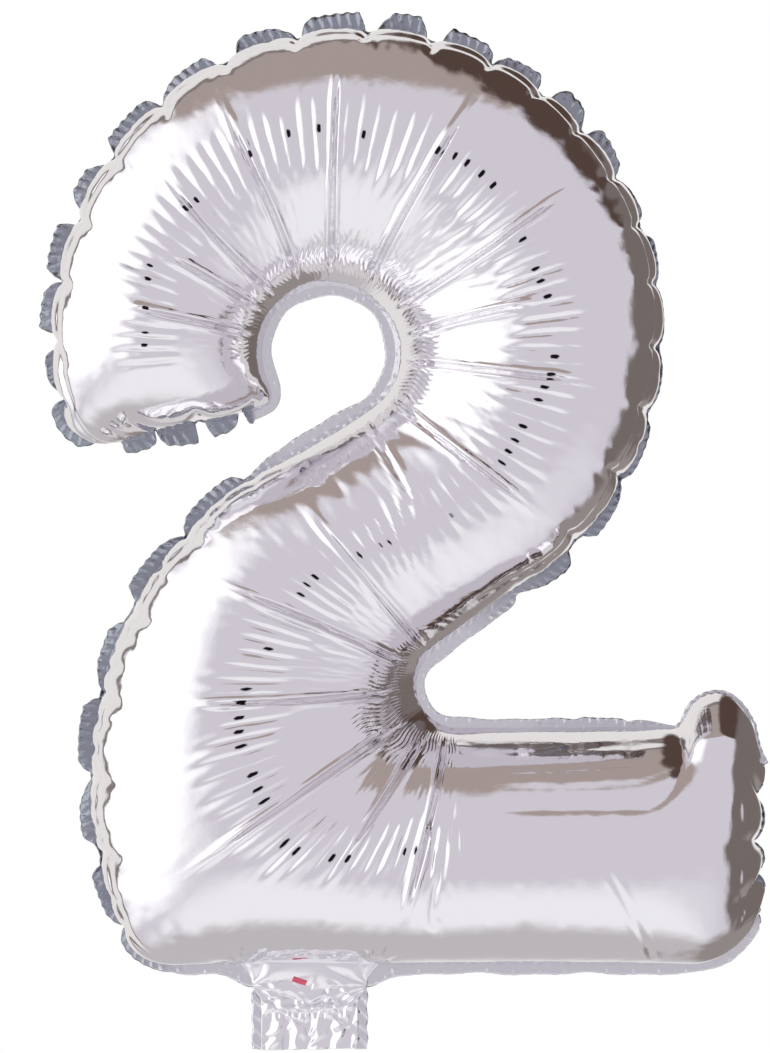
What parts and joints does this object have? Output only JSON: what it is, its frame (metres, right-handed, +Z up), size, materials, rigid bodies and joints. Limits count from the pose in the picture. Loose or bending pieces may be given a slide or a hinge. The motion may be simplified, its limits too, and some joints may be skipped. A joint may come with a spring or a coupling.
{
  "type": "foil number balloon",
  "caption": "Inflated silver foil balloon shaped as the digit two, with a sealed edge band and a filling tail that folds at its neck.",
  "frame": {"origin": "on the crown of the back panel, halfway down the waist of the digit, where the balloon lies flat against a wall", "axes": "+Z up the height of the digit, +Y out of its back into the wall, so the front of the digit faces -Y and +X is the reader's right"},
  "size_m": [0.248, 0.0763, 0.3505],
  "materials": {
    "foil": "mirror-bright silver metallised film",
    "sealed_foil": "silver metallised film, hatched by the heat seal",
    "clear_film": "clear soft film",
    "red_ink": "printed ink"
  },
  "bodies": {
    "balloon": {"front_panel": "foil", "back_panel": "foil", "edge_seam": "sealed_foil"},
    "tail": {"tail_front_film": "foil", "tail_back_film": "foil", "tail_seam_left": "sealed_foil", "tail_seam_right": "sealed_foil", "valve_inlet_front_ply": "clear_film", "valve_inlet_back_ply": "clear_film", "fill_mark": "red_ink"},
    "valve_front": {"valve_front_leaf": "clear_film"},
    "valve_back": {"valve_back_leaf": "clear_film"}
  },
  "joints": [
    {"name": "tail_fold", "type": "hinge", "parent": "balloon", "child": "tail", "pos_m": [-0.03337, -0.03815, -0.15017], "axis": [1, 0, 0], "range_deg": [-85, 85]},
    {"name": "valve_front_swing", "type": "hinge", "parent": "balloon", "child": "valve_front", "pos_m": [-0.03337, -0.03815, -0.14787], "axis": [1, 0, 0], "range_deg": [0, 20], "stiffness_Nm_per_rad": 0.0003},
    {"name": "valve_back_swing", "type": "hinge", "parent": "balloon", "child": "valve_back", "pos_m": [-0.03337, -0.03815, -0.14787], "axis": [-1, 0, 0], "range_deg": [0, 20], "stiffness_Nm_per_rad": 0.0003}
  ]
}
